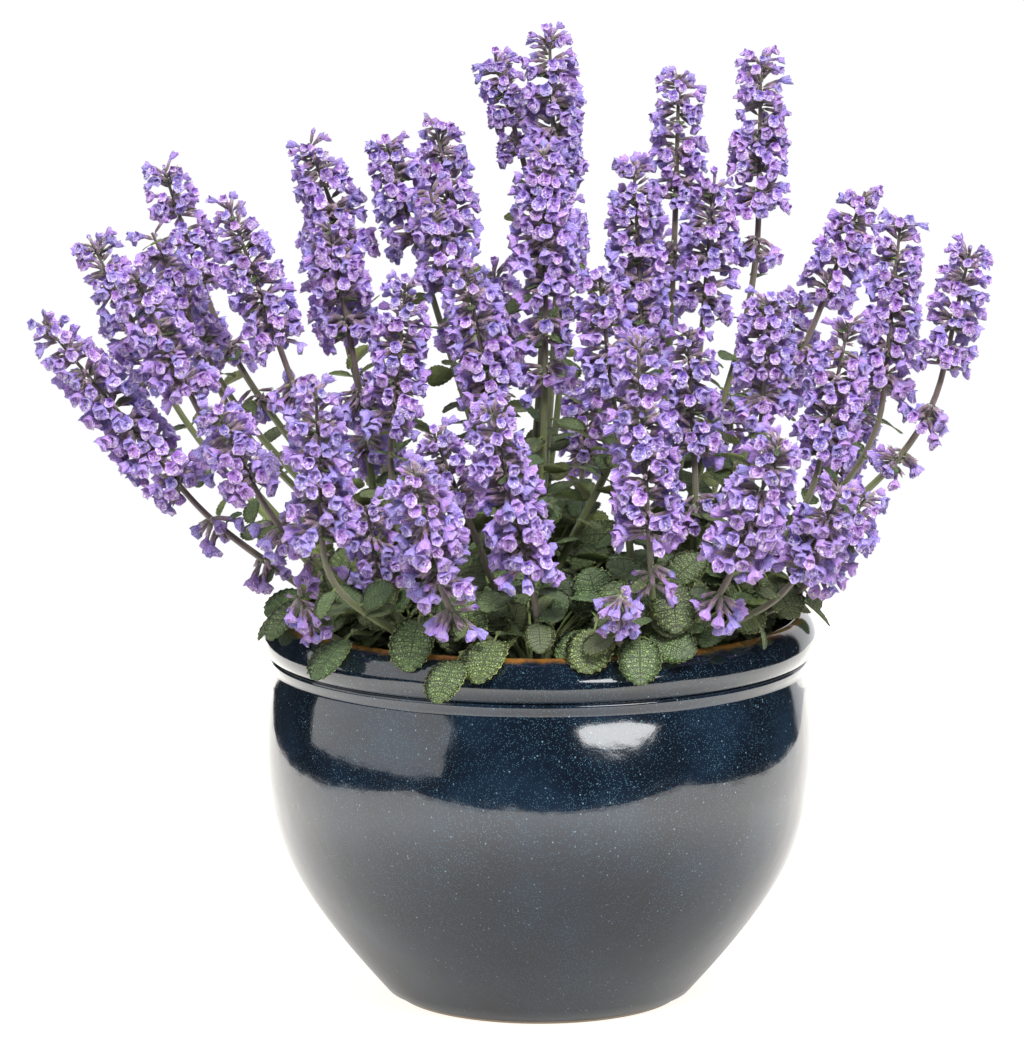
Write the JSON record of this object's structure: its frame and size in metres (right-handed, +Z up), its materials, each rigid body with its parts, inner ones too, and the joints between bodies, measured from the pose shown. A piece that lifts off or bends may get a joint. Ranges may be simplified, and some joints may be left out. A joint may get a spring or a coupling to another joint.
{
  "type": "potted catmint plant",
  "caption": "Flowering catmint in a round glazed pot of soil: upright violet flower spikes over clumps of round-toothed grey-green leaves.",
  "frame": {"origin": "middle of the pot's flat underside", "axes": "+Z up; +Y is away from the viewer and +X to the right when the fuller side faces the viewer"},
  "size_m": [0.5143, 0.4525, 0.5253],
  "materials": {
    "glaze": "gloss",
    "soil": "matte",
    "foliage": "matte",
    "flowers": "matte"
  },
  "bodies": {
    "root": {"pot": "glaze", "soil": "soil", "leafy_clump_1": "foliage", "leafy_clump_2": "foliage", "leafy_clump_3": "foliage", "leafy_clump_4": "foliage", "leafy_clump_5": "foliage", "leafy_clump_6": "foliage", "leafy_clump_7": "foliage", "leafy_clump_8": "foliage", "leafy_clump_9": "foliage", "flower_spike_01": "flowers", "flower_spike_02": "flowers", "flower_spike_03": "flowers", "flower_spike_04": "flowers", "flower_spike_05": "flowers", "flower_spike_06": "flowers", "flower_spike_07": "flowers", "flower_spike_08": "flowers", "flower_spike_09": "flowers", "flower_spike_10": "flowers", "flower_spike_11": "flowers", "flower_spike_12": "flowers", "flower_spike_13": "flowers", "flower_spike_14": "flowers", "flower_spike_15": "flowers", "flower_spike_16": "flowers", "flower_spike_17": "flowers", "flower_spike_18": "flowers", "flower_spike_19": "flowers", "flower_spike_20": "flowers", "flower_spike_21": "flowers", "flower_spike_22": "flowers", "flower_spike_23": "flowers", "flower_spike_24": "flowers", "flower_spike_25": "flowers", "flower_spike_26": "flowers", "flower_spike_27": "flowers", "flower_spike_28": "flowers", "flower_spike_29": "flowers", "flower_spike_30": "flowers", "flower_spike_31": "flowers", "flower_spike_32": "flowers", "flower_spike_33": "flowers", "flower_spike_34": "flowers", "flower_spike_35": "flowers", "flower_spike_36": "flowers", "flower_spike_37": "flowers", "flower_spike_38": "flowers", "flower_spike_39": "flowers", "flower_spike_40": "flowers", "flower_spike_41": "flowers", "flower_spike_42": "flowers", "flower_spike_43": "flowers", "flower_spike_44": "flowers", "flower_spike_45": "flowers", "flower_spike_46": "flowers", "flower_spike_47": "flowers", "flower_spike_48": "flowers", "flower_spike_49": "flowers"}
  },
  "joints": []
}
